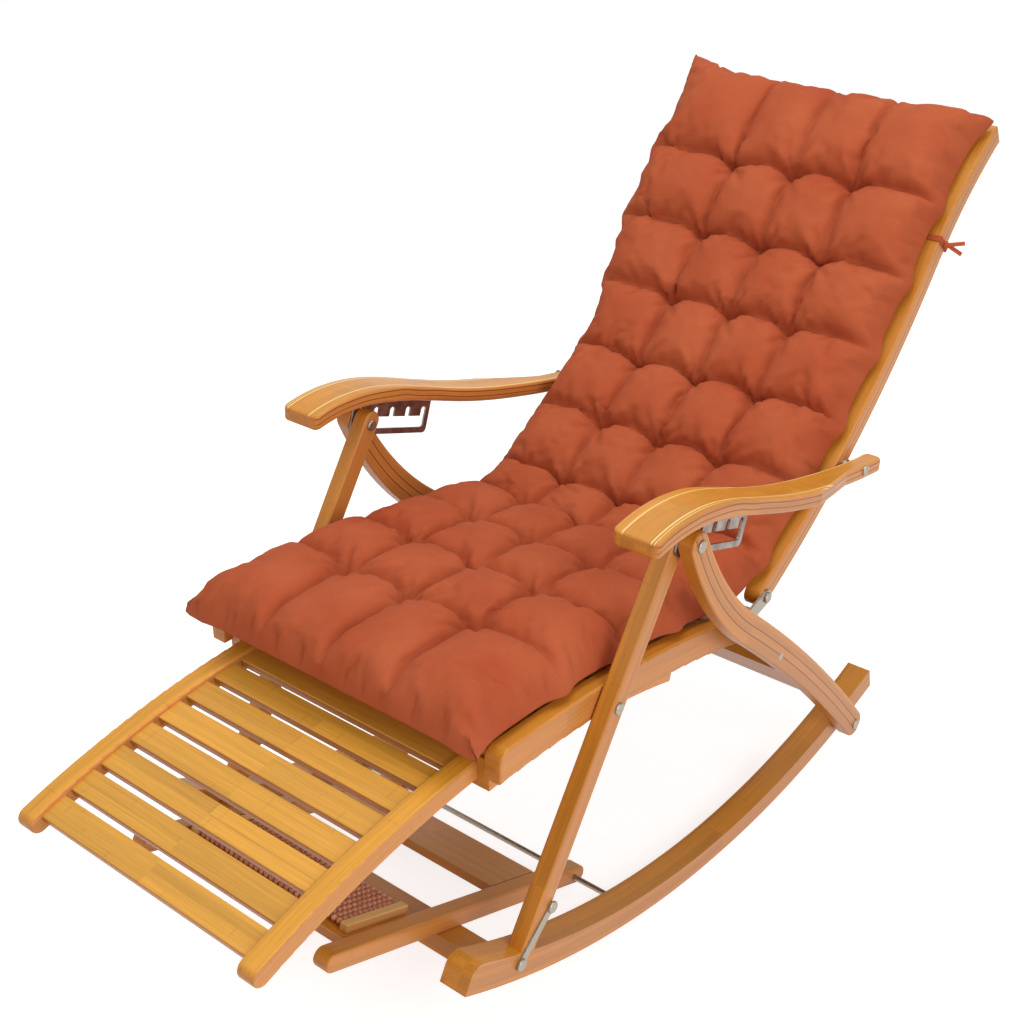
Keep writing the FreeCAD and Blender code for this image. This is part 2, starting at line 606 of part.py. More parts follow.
rear_board = massage_slab(*MASSAGE_REAR_BOARD, bar_half, MASSAGE_BOARD_THICK, MASSAGE_BAR_INNER)
save("massage_rear_board", rear_board)
front_board = massage_slab(*MASSAGE_FRONT_BOARD, bar_half - MASSAGE_PAD_THICK / 2, MASSAGE_BOARD_THICK,
                           MASSAGE_BAR_INNER)
save("massage_board", front_board)
pad_at = MASSAGE_FRONT_BOARD[0] + MASSAGE_PAD_EDGE
pad_length = MASSAGE_FRONT_BOARD[1] - 2 * MASSAGE_PAD_EDGE
massage_pad = massage_slab(pad_at, pad_length, bar_half + MASSAGE_PAD_THICK / 2, MASSAGE_PAD_THICK,
                           MASSAGE_BAR_INNER - MASSAGE_PAD_EDGE)
save("massage_pad", massage_pad)

# Crossbar between the rockers, on which the massage bars lie
crossbar_centre = move(move(ROD, MASSAGE_ANGLE, ROCKER_CROSSBAR_AT), MASSAGE_ANGLE + 90,
                       bar_half + SEAT_GAP + ROCKER_CROSSBAR_THICK / 2)
save("rocker_crossbar", cross_board(crossbar_centre, MASSAGE_ANGLE - 180, ROCKER_CROSSBAR_WIDTH,
                                    ROCKER_CROSSBAR_THICK, ROCKER_INNER))

# Hooks: flat steel straps pivoted on the front legs, that catch a screw on each rocker
hook_angle, hook_length = toward(HOOK_PIVOT, HOOK_SCREW)
hook_half = HOOK_WIDTH / 2
hook_x0 = LEG_OUTER + RUN_FIT
hook_x1 = hook_x0 + HOOK_THICK
hook = strip(HOOK_PIVOT, hook_angle, [(hook_length + HOOK_TIP - hook_half, 0)], [hook_half] * 2,
             [hook_half] * 2, hook_x0, hook_x1, round_start=True, round_end=True)
hook = hook.cut(rod(HOOK_PIVOT, SCREW_R + RUN_FIT, hook_x0, hook_x1))
mouth_half = SCREW_R + PIN_PLAY
mouth = strip(HOOK_SCREW, hook_angle + 90, [(HOOK_WIDTH, 0)], [mouth_half] * 2, [mouth_half] * 2,
              hook_x0, hook_x1, round_start=True)
save_pair("hook", hook.cut(mouth))


def screw(p, x0):
    """Screw with a domed head that stands clear of the hook strap."""
    head_x = hook_x1 + RUN_FIT
    return rod(p, SCREW_R, x0, head_x).fuse(dome_head(p, head_x, 1)).removeSplitter()


save("hook_pivot_screws", both(screw(HOOK_PIVOT, LEG_INNER)))
save("hook_catch_screws", both(screw(HOOK_SCREW, LEG_INNER)))


# Pad: one tufted cushion over seat and back, drawn in at each row of tufts
def pad_section(p, h, edge, half):
    """Cross-section of the pad at a place on its path: flat below, bulged sides, crowned top."""
    def at(x, n):
        q = move(p, h + 90, n)
        return V(x, q[0], q[1])
    shoulder = half - PAD_SIDE_BULGE
    low_left, low_right = at(-half, 0), at(half, 0)
    top_left, top_right = at(-shoulder, edge), at(shoulder, edge)
    return Part.Wire([
        Part.LineSegment(low_left, low_right).toShape(),
        Part.Arc(low_right, at(half + PAD_SIDE_BULGE, edge / 2), top_right).toShape(),
        Part.Arc(top_right, at(0, edge + PAD_CROWN), top_left).toShape(),
        Part.Arc(top_left, at(-half - PAD_SIDE_BULGE, edge / 2), low_left).toShape(),
    ])


def pad_body(start, angle, pieces, first, last, lift, rows):
    """Loft along a path, thick between the tuft rows and thin on them, with a dent at each tuft."""
    stations = [(first, PAD_EDGE - PAD_ROW_DROP, PAD_HALF - PAD_DRAW_IN)]
    for index, row in enumerate(rows):
        before = rows[index - 1] if index else first
        stations.append(((before + row) / 2, PAD_EDGE, PAD_HALF))
        stations.append((row, PAD_EDGE - PAD_ROW_DROP, PAD_HALF - PAD_DRAW_IN))
    stations.append(((rows[-1] + last) / 2, PAD_EDGE, PAD_HALF))
    stations.append((last, PAD_EDGE - PAD_ROW_DROP, PAD_HALF - PAD_DRAW_IN))
    wires = []
    for along, edge, half in stations:
        p, h = path_at(start, angle, pieces, along)
        wires.append(pad_section(move(p, h + 90, lift), h, edge, half))
    body = Part.makeLoft(wires, True, True)
    for row in rows:
        p, h = path_at(start, angle, pieces, row)
        for column in range(TUFT_COLUMNS):
            x = (column - (TUFT_COLUMNS - 1) / 2) * TUFT_PITCH
            q = move(p, h + 90, lift + PAD_EDGE - PAD_ROW_DROP + PAD_CROWN + TUFT_R - TUFT_SINK)
            body = body.cut(Part.makeSphere(TUFT_R, V(x, q[0], q[1])))
    return body


def half_space(angle, side):
    """Large block on one side of a plane through the back's pivot, the plane rising at the angle."""
    size = 4 * RAIL_OUTER
    block = Part.makeBox(2 * size, size, 2 * size, V(-size, 0 if side > 0 else -size, -size))
    block.rotate(V(0, 0, 0), V(1, 0, 0), angle - 90)
    block.translate(point(BACK_PIVOT))
    return block


seat_tangent = 180 - math.degrees(math.asin((BACK_PIVOT[0] - seat_centre[0]) / SEAT_R))
crease = (seat_tangent + BACK_ANGLE) / 2
crease_half = RECLINE_MAX / 2 + PAD_CREASE_PLAY
hinge_room = rod(BACK_PIVOT, PAD_HINGE_CLEAR, -2 * PAD_HALF, 2 * PAD_HALF)

seat_length = seat_path[0][0]
pad_swing = seat_start_swing - math.degrees(PAD_FRONT_OVERHANG / SEAT_R)
seat_pad_start = move(seat_centre, 90 - pad_swing, SEAT_R)
seat_pad_length = seat_length + PAD_FRONT_OVERHANG + PAD_ROW_PITCH
seat_pad_path = [(seat_pad_length, -math.degrees(seat_pad_length / SEAT_R))]
seat_row_count = int((seat_length + PAD_FRONT_OVERHANG) // PAD_ROW_PITCH)
seat_pad_rows = [PAD_ROW_PITCH * (index + 1) for index in range(seat_row_count)]
seat_pad = pad_body(seat_pad_start, -pad_swing, seat_pad_path, 0, seat_pad_length,
                    seat_half + PAD_LIFT, seat_pad_rows)
seat_pad = seat_pad.cut(half_space(crease + crease_half, 1)).cut(hinge_room)
save("seat_cushion", max(seat_pad.Solids, key=lambda s: s.Volume))

back_row_count = int(back_total // PAD_ROW_PITCH)
back_pad_rows = [PAD_ROW_PITCH * (index + 1) + PAD_END for index in range(back_row_count)]
back_pad = pad_body(BACK_PIVOT, BACK_ANGLE, back_path, 0, back_total, back_half + PAD_LIFT, back_pad_rows)
back_pad = back_pad.cut(half_space(crease - crease_half, -1)).cut(hinge_room)
save("back_cushion", max(back_pad.Solids, key=lambda s: s.Volume))


# Bend of the pad: the soft wedge between its seat and its back, which closes as the back comes up
pivot_height = toward(seat_centre, BACK_PIVOT)[1] - SEAT_R - seat_half
seat_side = crease + crease_half - PAD_BEND_GAP
back_side = crease - crease_half + PAD_BEND_GAP
seat_lean = math.cos(math.radians(seat_side - seat_tangent + 90))
back_lean = math.cos(math.radians(BACK_ANGLE + 90 - back_side))
seat_reach = (PAD_EDGE + PAD_LIFT - pivot_height) / seat_lean
back_reach = (PAD_EDGE + PAD_LIFT + back_half) / back_lean
bend_inner = PAD_HINGE_CLEAR + PAD_LIFT
seat_low = move(BACK_PIVOT, seat_side, bend_inner)
mid_low = move(BACK_PIVOT, crease, bend_inner)
back_low = move(BACK_PIVOT, back_side, bend_inner)
back_top = move(BACK_PIVOT, back_side, back_reach)
seat_top = move(BACK_PIVOT, seat_side, seat_reach)
halfway = ((back_top[0] + seat_top[0]) / 2, (back_top[1] + seat_top[1]) / 2)
mid_top = move(halfway, crease, -PAD_BEND_DIP)
bend = Part.Wire([
    Part.Arc(point(seat_low), point(mid_low), point(back_low)).toShape(),
    Part.LineSegment(point(back_low), point(back_top)).toShape(),
    Part.Arc(point(back_top), point(mid_top), point(seat_top)).toShape(),
    Part.LineSegment(point(seat_top), point(seat_low)).toShape(),
])
bend_half = PAD_HALF - PAD_DRAW_IN
save("cushion_bend", across(bend, -bend_half, bend_half))
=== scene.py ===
import math

import bmesh
import bpy
from mathutils import Matrix, Vector, noise


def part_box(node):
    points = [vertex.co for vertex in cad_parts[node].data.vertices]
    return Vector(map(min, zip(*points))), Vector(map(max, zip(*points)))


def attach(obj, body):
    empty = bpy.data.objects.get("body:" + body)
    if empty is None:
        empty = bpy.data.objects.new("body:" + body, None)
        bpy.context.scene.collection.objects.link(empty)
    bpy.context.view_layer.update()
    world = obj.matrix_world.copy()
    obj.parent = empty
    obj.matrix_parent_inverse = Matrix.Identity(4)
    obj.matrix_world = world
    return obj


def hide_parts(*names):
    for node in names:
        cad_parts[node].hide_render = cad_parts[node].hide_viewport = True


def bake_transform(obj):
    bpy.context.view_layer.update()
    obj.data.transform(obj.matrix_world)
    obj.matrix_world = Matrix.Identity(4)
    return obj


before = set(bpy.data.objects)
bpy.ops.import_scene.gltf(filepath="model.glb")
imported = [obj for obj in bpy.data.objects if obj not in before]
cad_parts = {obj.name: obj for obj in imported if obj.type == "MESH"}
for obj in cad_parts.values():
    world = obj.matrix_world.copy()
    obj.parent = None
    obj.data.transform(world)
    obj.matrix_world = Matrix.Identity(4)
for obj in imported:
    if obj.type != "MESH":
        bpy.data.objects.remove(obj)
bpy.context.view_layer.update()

# Rockers: two bent runners of laminated bamboo that the whole chair stands on.
# Strips are glued up over a curved former, sanded, and finished in honey-coloured satin lacquer.
ROCKER_CENTRE = (0.0927, 1.42985)
ROCKER_RADIUS = 1.430
# Top, side and front colours: the lighter top is partly painted light, the redder side and darker front
# partly painted shade, and partly the wood's own tones.
TOP_LIT_TONE = "CE882A"
SIDE_SHADED_TONE = "CA823E"
FRONT_SHADED_TONE = "C27620"
GROOVE_TONE = "8E5024"
EDGE_TONE = "EFCB80"
FIBRE_WIDTH = 0.0026
FIBRE_LENGTH = 0.110
STRIP_WIDTH = 0.019
STRIP_LAYER = 0.0075
KNOT_SPACING = 0.29
KNOT_SHARE = 0.012


def srgb(code):
    """Linear colour from an sRGB hex code."""
    values = [int(code[i:i + 2], 16) / 255 for i in (0, 2, 4)]
    return [v / 12.92 if v <= 0.04045 else ((v + 0.055) / 1.055) ** 2.4 for v in values] + [1.0]


def add(tree, kind, inputs=None, **settings):
    """Add a node with its settings, and set or link its inputs."""
    node = tree.nodes.new(kind)
    for name, value in settings.items():
        setattr(node, name, value)
    for socket, value in (inputs or {}).items():
        if isinstance(value, bpy.types.NodeSocket):
            tree.links.new(value, node.inputs[socket])
        else:
            node.inputs[socket].default_value = value
    return node


def arc_lines(centre, radius):
    """Grain that follows an arc in the side view: across the chair, by layer, and along the arc."""
    def lines(tree, place):
        offset = add(tree, "ShaderNodeVectorMath", {0: place, 1: (0, *centre)},
                     operation="SUBTRACT").outputs[0]
        flat = add(tree, "ShaderNodeVectorMath", {0: offset, 1: (0, 1, 1)}, operation="MULTIPLY").outputs[0]
        reach = add(tree, "ShaderNodeVectorMath", {0: flat}, operation="LENGTH").outputs["Value"]
        layer = add(tree, "ShaderNodeMath", {0: reach, 1: radius}, operation="SUBTRACT").outputs[0]
        split = add(tree, "ShaderNodeSeparateXYZ", {0: offset}).outputs
        turn = add(tree, "ShaderNodeMath", {0: split["Y"], 1: split["Z"]}, operation="ARCTAN2").outputs[0]
        along = add(tree, "ShaderNodeMath", {0: turn, 1: radius}, operation="MULTIPLY").outputs[0]
        across = add(tree, "ShaderNodeSeparateXYZ", {0: place}).outputs["X"]
        return across, layer, along
    return lines


def blank_material(name):
    """New material with an empty node tree."""
    material = bpy.data.materials.new(name)
    material.use_nodes = True
    material.node_tree.nodes.clear()
    return material, material.node_tree


def bamboo(name, lines, grooves=(), edges=(), lit_and_shaded_tones=(TOP_LIT_TONE, SIDE_SHADED_TONE, FRONT_SHADED_TONE)):
    """Laminated bamboo under satin lacquer: straight fibres, strips of differing tone, faint knots.
    Tops are coloured lighter and sides and fronts darker by which way they face: partly the strips' pale
    edges and redder faces, partly painted light and painted shade."""
    material, tree = blank_material(name)
    coordinate = add(tree, "ShaderNodeTexCoord")
    across, layer, along = lines(tree, coordinate.outputs["Object"])
    grain = add(tree, "ShaderNodeCombineXYZ", {0: across, 1: layer, 2: along}).outputs[0]
    fibre_size = (1 / FIBRE_WIDTH, 1 / FIBRE_WIDTH, 1 / FIBRE_LENGTH)
    stretched = add(tree, "ShaderNodeVectorMath", {0: grain, 1: fibre_size}, operation="MULTIPLY").outputs[0]
    fibre = add(tree, "ShaderNodeTexNoise", {"Vector": stretched, "Scale": 1.0, "Detail": 3.0,
                                             "Roughness": 0.6}).outputs[0]
    strip_size = (1 / STRIP_WIDTH, 1 / STRIP_LAYER, 0)
    strips = add(tree, "ShaderNodeVectorMath", {0: grain, 1: strip_size}, operation="MULTIPLY").outputs[0]
    strip = add(tree, "ShaderNodeVectorMath", {0: strips}, operation="FLOOR").outputs[0]
    strip_tone = add(tree, "ShaderNodeTexWhiteNoise", {"Vector": strip}).outputs["Value"]

    # Painted light and shade by facing: lighter colour on upward faces, darker on fronts and undersides,
    # redder on the sides; partly the wood's own edge and face tones.
    normal = add(tree, "ShaderNodeSeparateXYZ", {0: coordinate.outputs["Normal"]}).outputs
    sideways = add(tree, "ShaderNodeMath", {0: normal["X"]}, operation="ABSOLUTE").outputs[0]
    side = add(tree, "ShaderNodeMapRange", {0: sideways, 1: 0.45, 2: 0.85}).outputs[0]
    up = add(tree, "ShaderNodeMapRange", {0: normal["Z"], 1: 0.15, 2: 0.85}).outputs[0]
    lit_top_tone, shaded_side_tone, shaded_front_tone = (srgb(tone) for tone in lit_and_shaded_tones)
    colour = add(tree, "ShaderNodeMix", {0: up, 6: shaded_front_tone, 7: lit_top_tone}, data_type="RGBA").outputs[2]
    colour = add(tree, "ShaderNodeMix", {0: side, 6: colour, 7: shaded_side_tone}, data_type="RGBA").outputs[2]

    knot_at = add(tree, "ShaderNodeMath", {0: along, 1: KNOT_SPACING}, operation="DIVIDE").outputs[0]
    knot_at = add(tree, "ShaderNodeMath", {0: knot_at, 1: strip_tone}, operation="ADD").outputs[0]
    knot_at = add(tree, "ShaderNodeMath", {0: knot_at}, operation="FRACT").outputs[0]
    knot = add(tree, "ShaderNodeMath", {0: knot_at, 1: KNOT_SHARE}, operation="LESS_THAN").outputs[0]

    tone = add(tree, "ShaderNodeMapRange", {0: fibre, 1: 0.25, 2: 0.75, 3: 0.84, 4: 1.12}).outputs[0]
    strip_share = add(tree, "ShaderNodeMapRange", {0: strip_tone, 3: 0.87, 4: 1.09}).outputs[0]
    knot_share = add(tree, "ShaderNodeMapRange", {0: knot, 3: 1.0, 4: 0.92}).outputs[0]
    tone = add(tree, "ShaderNodeMath", {0: tone, 1: strip_share}, operation="MULTIPLY").outputs[0]
    tone = add(tree, "ShaderNodeMath", {0: tone, 1: knot_share}, operation="MULTIPLY").outputs[0]
    colour = add(tree, "ShaderNodeVectorMath", {0: colour, 3: tone}, operation="SCALE").outputs[0]

    for offset, half_width in grooves:
        away = add(tree, "ShaderNodeMath", {0: layer, 1: offset, 2: half_width},
                   operation="COMPARE").outputs[0]
        away = add(tree, "ShaderNodeMath", {0: away, 1: side}, operation="MULTIPLY").outputs[0]
        colour = add(tree, "ShaderNodeMix", {0: away, 6: colour, 7: srgb(GROOVE_TONE)},
                     data_type="RGBA").outputs[2]
    if edges:
        beside = add(tree, "ShaderNodeMath", {0: across}, operation="ABSOLUTE").outputs[0]
    for offset, half_width in edges:
        away = add(tree, "ShaderNodeMath", {0: beside, 1: offset, 2: half_width},
                   operation="COMPARE").outputs[0]
        away = add(tree, "ShaderNodeMath", {0: away, 1: up}, operation="MULTIPLY").outputs[0]
        colour = add(tree, "ShaderNodeMix", {0: away, 6: colour, 7: srgb(EDGE_TONE)},
                     data_type="RGBA").outputs[2]

    gloss = add(tree, "ShaderNodeMapRange", {0: fibre, 1: 0.25, 2: 0.75, 3: 0.36, 4: 0.50}).outputs[0]
    bump = add(tree, "ShaderNodeBump", {"Strength": 0.12, "Distance": 0.0005, "Height": fibre}).outputs[0]
    shader = add(tree, "ShaderNodeBsdfPrincipled", {
        "Base Color": colour, "Roughness": gloss, "Normal": bump, "IOR": 1.5, "Specular IOR Level": 0.35,
        "Coat Weight": 0.14, "Coat Roughness": 0.25})
    add(tree, "ShaderNodeOutputMaterial", {0: shader.outputs[0]})
    return material


def dress(material, *nodes):
    """Give CAD nodes a finish."""
    for node in nodes:
        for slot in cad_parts[node].material_slots:
            slot.material = material


def pair(node):
    return node + "_right", node + "_left"


rocker_wood = bamboo("rocker_bamboo", arc_lines(ROCKER_CENTRE, ROCKER_RADIUS))
dress(rocker_wood, *pair("rocker"))

# Front legs: straight bamboo posts that stand on the rockers and rise to the apex bolts.
# Each is cut from a laminated board, with its long edges eased.
LEG_ANGLE = 60.7


def straight_lines(angle):
    """Grain that runs straight at an angle in the side view."""
    cosine = math.cos(math.radians(angle))
    sine = math.sin(math.radians(angle))

    def lines(tree, place):
        axes = ((1, 0, 0), (0, -sine, cosine), (0, cosine, sine))
        return [add(tree, "ShaderNodeVectorMath", {0: place, 1: axis},
                    operation="DOT_PRODUCT").outputs["Value"] for axis in axes]
    return lines


dress(bamboo("front_leg_bamboo", straight_lines(LEG_ANGLE)), *pair("front_leg"))

# Rear legs: S-bent bamboo posts from the apex bolts down to the rockers' rear bolts.
# Two lines are routed along each outer face, and they follow the bend.
REAR_LEG_START = (-0.1233, 0.610)
REAR_LEG_HEADING = -62.0
REAR_LEG_UPPER = (0.252, 26.0)
REAR_LEG_END = (0.4567, 0.067)
REAR_GROOVES = ((-0.0062, 0.0010), (0.0062, 0.0010))


def step(p, angle, distance):
    a = math.radians(angle)
    return (p[0] + distance * math.cos(a), p[1] + distance * math.sin(a))


def arc_end(p, heading, length, turn):
    """End and heading of an arc in the side view."""
    half = math.radians(turn) / 2
    return step(p, heading + turn / 2, length * math.sin(half) / half), heading + turn


def arc_centre(p, heading, length, turn):
    """Centre of an arc, and its radius, negative where it turns right."""
    radius = length / math.radians(turn)
    return step(p, heading + 90, radius), radius


def bent_lines(first, second, join, heading):
    """Grain along two arcs that meet, split by a line square to them at the join."""
    cosine = math.cos(math.radians(heading))
    sine = math.sin(math.radians(heading))

    def lines(tree, place):
        layers = []
        for centre, radius in (first, second):
            across, layer, along = arc_lines(centre, abs(radius))(tree, place)
            sign = -1.0 if radius > 0 else 1.0
            layers.append(add(tree, "ShaderNodeMath", {0: layer, 1: sign}, operation="MULTIPLY").outputs[0])
        offset = add(tree, "ShaderNodeVectorMath", {0: place, 1: (0, *join)}, operation="SUBTRACT").outputs[0]
        ahead = add(tree, "ShaderNodeVectorMath", {0: offset, 1: (0, cosine, sine)},
                    operation="DOT_PRODUCT").outputs["Value"]
        past = add(tree, "ShaderNodeMath", {0: ahead, 1: 0.0}, operation="GREATER_THAN").outputs[0]
        layer = add(tree, "ShaderNodeMix", {0: past, 2: layers[0], 3: layers[1]}).outputs[0]
        return across, layer, ahead
    return lines


rear_join, rear_heading = arc_end(REAR_LEG_START, REAR_LEG_HEADING, *REAR_LEG_UPPER)
rear_reach = Vector(REAR_LEG_END) - Vector(rear_join)
rear_turn = 2 * (math.degrees(math.atan2(rear_reach.y, rear_reach.x)) - rear_heading)
rear_half = math.radians(rear_turn) / 2
rear_length = rear_reach.length * rear_half / math.sin(rear_half)
rear_lines = bent_lines(arc_centre(REAR_LEG_START, REAR_LEG_HEADING, *REAR_LEG_UPPER),
                        arc_centre(rear_join, rear_heading, rear_length, rear_turn), rear_join, rear_heading)
dress(bamboo("rear_leg_bamboo", rear_lines, grooves=REAR_GROOVES), *pair("rear_leg"))

# Crossbars and boards: flat bamboo boards between the two sides, with their grain across the chair.
# They are glued and screwed into the legs, the rockers and the massage bars.
# Top, side and front colours, partly the wood's own tones and partly painted light on top and painted shade
# at the sides and front.
BOARD_LIT_AND_SHADED_TONES = ("D08C30", "CB8440", "BE7226")


def crosswise_lines(tree, place):
    """Grain that runs across the chair."""
    split = add(tree, "ShaderNodeSeparateXYZ", {0: place}).outputs
    return split["Y"], split["Z"], split["X"]


board_wood = bamboo("crossboard_bamboo", crosswise_lines, lit_and_shaded_tones=BOARD_LIT_AND_SHADED_TONES)
dress(board_wood, "rear_leg_crossbar", "rocker_crossbar", "massage_board", "massage_rear_board")

# Seat: two bowed side rails with slats let in between them.
# The rails are bent and laminated; the slats are single bamboo strips, glued edge to edge in pairs.
SEAT_CENTRE = (-0.3083, -1.6585)
SEAT_RADIUS = 2.072
# Top, side and front colours, partly the wood's own tones and partly painted light on top and painted shade
# at the sides and front.
SLAT_LIT_AND_SHADED_TONES = ("DA9C38", "CB8A36", "B8701E")

dress(bamboo("seat_rail_bamboo", arc_lines(SEAT_CENTRE, SEAT_RADIUS)), *pair("seat_rail"))
slat_wood = bamboo("slat_bamboo", crosswise_lines, lit_and_shaded_tones=SLAT_LIT_AND_SHADED_TONES)
dress(slat_wood, "seat_slats", "back_slats", "footrest_slats")

# Back: two S-bent side rails, hinged to the seat on steel straps, with slats across.
# Each rail has one routed line down its outer face.
BACK_START = (0.1767, 0.400)
BACK_HEADING = 33.0
BACK_LOWER = (0.592, 23.0)
BACK_UPPER = (0.260, -20.0)
BACK_GROOVES = ((0.0005, 0.0009),)

back_join, back_heading = arc_end(BACK_START, BACK_HEADING, *BACK_LOWER)
back_lower_arc = arc_centre(BACK_START, BACK_HEADING, *BACK_LOWER)
back_upper_arc = arc_centre(back_join, back_heading, *BACK_UPPER)
back_lines = bent_lines(back_lower_arc, back_upper_arc, back_join, back_heading)
dress(bamboo("back_rail_bamboo", back_lines, grooves=BACK_GROOVES), *pair("back_rail"))

# Armrests: waved boards, laminated flat and sawn to a wave, broad in front and narrow at the rear pivot.
# Pale strips run beside both long edges, and the layers show as lines along the sides.
ARM_WAVE = ((-0.2393, 0.655), (-0.1703, 0.667), (-0.0983, 0.662), (-0.0023, 0.637),
            (0.1127, 0.604), (0.2357, 0.579), (0.3417, 0.563), (0.4367, 0.555))
ARM_EDGES = ((0.2665, 0.0012), (0.3085, 0.0013), (0.3130, 0.0007))
ARM_GROOVES = ((-0.0052, 0.0009), (-0.0135, 0.0008))


def wave_lines(points):
    """Grain that follows a wave drawn through points in the side view."""
    first = points[0][0]
    span = points[-1][0] - first
    low = min(z for y, z in points)
    rise = max(z for y, z in points) - low

    def lines(tree, place):
        split = add(tree, "ShaderNodeSeparateXYZ", {0: place}).outputs
        share = add(tree, "ShaderNodeMapRange", {0: split["Y"], 1: first, 2: first + span}).outputs[0]
        curve = add(tree, "ShaderNodeFloatCurve", {1: share})
        shape = curve.mapping.curves[0]
        shape.points[0].location = (0, (points[0][1] - low) / rise)
        shape.points[1].location = (1, (points[-1][1] - low) / rise)
        for y, z in points[1:-1]:
            shape.points.new((y - first) / span, (z - low) / rise)
        curve.mapping.update()
        wave = add(tree, "ShaderNodeMapRange", {0: curve.outputs[0], 3: low, 4: low + rise}).outputs[0]
        layer = add(tree, "ShaderNodeMath", {0: split["Z"], 1: wave}, operation="SUBTRACT").outputs[0]
        return split["X"], layer, split["Y"]
    return lines


arm_wood = bamboo("armrest_bamboo", wave_lines(ARM_WAVE), grooves=ARM_GROOVES, edges=ARM_EDGES)
dress(arm_wood, *pair("armrest"))

# Notch plates: pressed steel plates screwed under the armrests, whose notches hang on the apex pins.
# They are sprayed in a bronze-grey metallic paint, which mirrors what is around it and looks dark in shade.
PAINT_TONE = "7C7068"
PAINT_WORN = "A39A92"
PEBBLE_SIZE = 0.0012
PATCH_SIZE = 0.016

paint, tree = blank_material("plate_metallic_paint")
place = add(tree, "ShaderNodeTexCoord").outputs["Object"]
pebble = add(tree, "ShaderNodeTexNoise", {"Vector": place, "Scale": 1 / PEBBLE_SIZE,
                                          "Detail": 2.0}).outputs[0]
wear = add(tree, "ShaderNodeTexNoise", {"Vector": place, "Scale": 1 / PATCH_SIZE, "Detail": 4.0}).outputs[0]
worn = add(tree, "ShaderNodeMapRange", {0: wear, 1: 0.4, 2: 0.7}).outputs[0]
colour = add(tree, "ShaderNodeMix", {0: worn, 6: srgb(PAINT_TONE), 7: srgb(PAINT_WORN)},
             data_type="RGBA").outputs[2]
bump = add(tree, "ShaderNodeBump", {"Strength": 0.12, "Distance": 0.0003, "Height": pebble}).outputs[0]
shader = add(tree, "ShaderNodeBsdfPrincipled", {
    "Base Color": colour, "Roughness": 0.30, "Metallic": 0.85, "Normal": bump})
add(tree, "ShaderNodeOutputMaterial", {0: shader.outputs[0]})
dress(paint, *pair("notch_plate"))

# Bolts, pins, straps and hooks: zinc-plated steel, tumbled and a little dulled.
# The plating gives a soft grey shine with faint yellowish passivation.
ZINC_TONE = "B7B0A2"
ZINC_DULL = "8A8071"
TUMBLE_SIZE = 0.004

zinc, tree = blank_material("zinc_plated_steel")
place = add(tree, "ShaderNodeTexCoord").outputs["Object"]
tumble = add(tree, "ShaderNodeTexNoise", {"Vector": place, "Scale": 1 / TUMBLE_SIZE,
                                          "Detail": 4.0}).outputs[0]
colour = add(tree, "ShaderNodeMix", {0: tumble, 6: srgb(ZINC_DULL), 7: srgb(ZINC_TONE)},
             data_type="RGBA").outputs[2]
gloss = add(tree, "ShaderNodeMapRange", {0: tumble, 3: 0.26, 4: 0.48}).outputs[0]
shader = add(tree, "ShaderNodeBsdfPrincipled", {"Base Color": colour, "Roughness": gloss, "Metallic": 1.0})
add(tree, "ShaderNodeOutputMaterial", {0: shader.outputs[0]})
dress(zinc, *pair("apex_pin"), *pair("hook"), *pair("back_hinge_strap"), "rocker_bolts",
      "rocker_bolt_spacers", "seat_bolts", "seat_bolt_washers", "back_hinge_bolts", "arm_pivot_bolts",
      "arm_pivot_spacers", "hook_pivot_screws", "hook_catch_screws", "rocker_rod", "seat_rest_rod")

# Footrest: bent side rails with slats between them, which slide in grooved runners under the seat.
# Rails and runners are bent to one radius, so the whole footrest follows an arc.
FOOT_CENTRE = (-0.3003, -0.891)
FOOT_RADIUS = 1.280
# Top, side and front colours, partly the wood's own tones and partly painted light on top and painted shade
# at the sides and front.
FOOT_LIT_AND_SHADED_TONES = ("D8962E", "CF8844", "C47C28")

foot_wood = bamboo("footrest_bamboo", arc_lines(FOOT_CENTRE, FOOT_RADIUS), lit_and_shaded_tones=FOOT_LIT_AND_SHADED_TONES)
dress(foot_wood, *pair("footrest_rail"), *pair("footrest_runner"))

# Massage bars: two sloping bamboo bars that turn on the rocker rod and carry the foot boards.
# Each is one straight laminated bar with rounded ends, bored for the rod near its rear end.
MASSAGE_ANGLE = 161.3
dress(bamboo("massage_bar_bamboo", straight_lines(MASSAGE_ANGLE)), *pair("massage_bar"))

# Massage pad: rows of small turned wooden beads strung on cords, between two bamboo battens.
# The strings are stapled to the front foot board, so the beads lie side by side and can't roll off.
BEAD_SIZE = 0.0092
BEAD_TONE = "DC9870"
BEAD_DARK = "B87454"
BEAD_PAD_THICK = 0.012
BATTEN_WIDTH = 0.013
BATTEN_GAP = 0.0005
BATTEN_EDGE = 0.0016
# Top, side and front colours, partly the wood's own tones and partly painted light on top and painted shade
# at the sides and front.
BATTEN_LIT_AND_SHADED_TONES = ("E0B360", "D59A5C", "C98A45")


def stand(name, mesh):
    """Put a finished mesh in the scene as an object."""
    made = bpy.data.objects.new(name, bpy.data.meshes.new(name))
    mesh.to_mesh(made.data)
    mesh.free()
    bpy.context.collection.objects.link(made)
    return made


